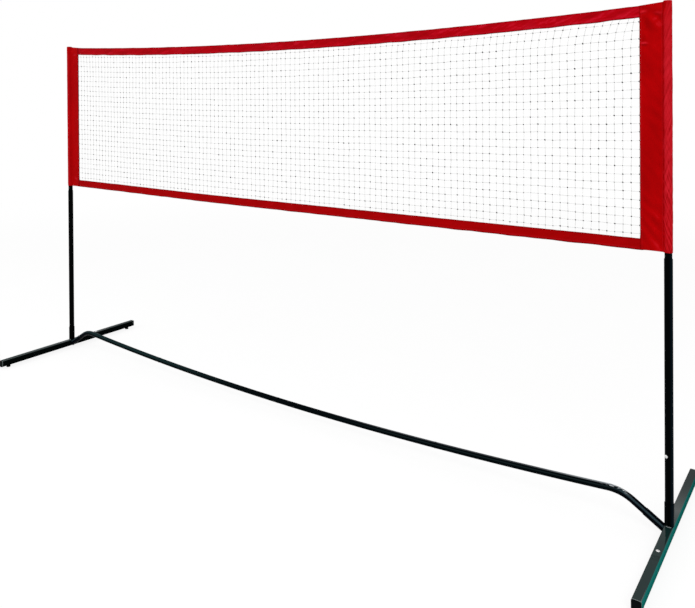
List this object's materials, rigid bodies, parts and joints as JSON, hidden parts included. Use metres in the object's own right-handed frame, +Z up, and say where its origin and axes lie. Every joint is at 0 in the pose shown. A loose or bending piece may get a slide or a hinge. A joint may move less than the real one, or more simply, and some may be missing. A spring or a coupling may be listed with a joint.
{
  "type": "badminton net",
  "caption": "Free-standing portable badminton net: sleeved net on two plug-together round posts, with tube feet and a low bent crossbar.",
  "frame": {"origin": "on the floor, midway between the two posts", "axes": "+X along the net towards the right post as seen from the front, +Y along the feet away from the front, +Z up"},
  "size_m": [2.927, 0.77, 1.56],
  "materials": {
    "black_paint": "gloss powder coat",
    "black_plastic": "moulded, satin",
    "black_rubber": "matt",
    "bright_steel": "bright zinc or nickel plate",
    "red_cloth": "woven polyester, slight sheen",
    "white_twine": "twisted nylon twine, knotted"
  },
  "bodies": {
    "frame": {"right_foot_bar": "black_paint", "right_end_plug_front": "black_plastic", "right_end_plug_back": "black_plastic", "right_pad_front": "black_rubber", "right_pad_back": "black_rubber", "right_foot_rivet": "bright_steel", "right_crossbar_stub": "black_paint", "right_post_collar": "black_paint", "right_post_spigot": "black_paint", "right_v_spring": "bright_steel", "right_lower_post": "black_paint", "right_stop_plug": "black_plastic", "left_foot_bar": "black_paint", "left_end_plug_front": "black_plastic", "left_end_plug_back": "black_plastic", "left_pad_front": "black_rubber", "left_pad_back": "black_rubber", "left_foot_rivet": "bright_steel", "left_crossbar_stub": "black_paint", "left_post_collar": "black_paint", "left_post_spigot": "black_paint", "left_v_spring": "bright_steel", "left_lower_post": "black_paint", "left_stop_plug": "black_plastic", "left_crossbar_end": "black_paint", "left_crossbar_middle": "black_paint", "right_crossbar_middle": "black_paint", "right_crossbar_end": "black_paint"},
    "left_upper_post": {"left_upper_post": "black_paint", "left_post_cap": "black_plastic"},
    "right_upper_post": {"right_upper_post": "black_paint", "right_post_cap": "black_plastic"},
    "net": {"net_mesh": "white_twine", "top_band": "red_cloth", "bottom_band": "red_cloth", "left_sleeve": "red_cloth", "right_sleeve": "red_cloth"},
    "left_button": {"left_snap_button": "bright_steel"},
    "right_button": {"right_snap_button": "bright_steel"}
  },
  "joints": [
    {"name": "left_upper_post_slide", "type": "slide", "parent": "frame", "child": "left_upper_post", "axis": [0, 0, 1], "range_m": [0, 0.12]},
    {"name": "right_upper_post_slide", "type": "slide", "parent": "frame", "child": "right_upper_post", "axis": [0, 0, 1], "range_m": [0, 0.12]},
    {"name": "net_lift", "type": "slide", "parent": "left_upper_post", "child": "net", "axis": [0, 0, 1], "range_m": [0, 0.73]},
    {"name": "left_button_press", "type": "slide", "parent": "frame", "child": "left_button", "axis": [-0.5, -0.866, 0], "range_m": [0, 0.004], "stiffness_N_per_m": 800, "springref_m": -0.003, "deforming": ["left_v_spring"]},
    {"name": "right_button_press", "type": "slide", "parent": "frame", "child": "right_button", "axis": [0.5, 0.866, 0], "range_m": [0, 0.004], "stiffness_N_per_m": 800, "springref_m": -0.003, "deforming": ["right_v_spring"]}
  ],
  "couplings": [
    {"joint": "right_upper_post_slide", "follows": "left_upper_post_slide", "ratio": 1}
  ]
}
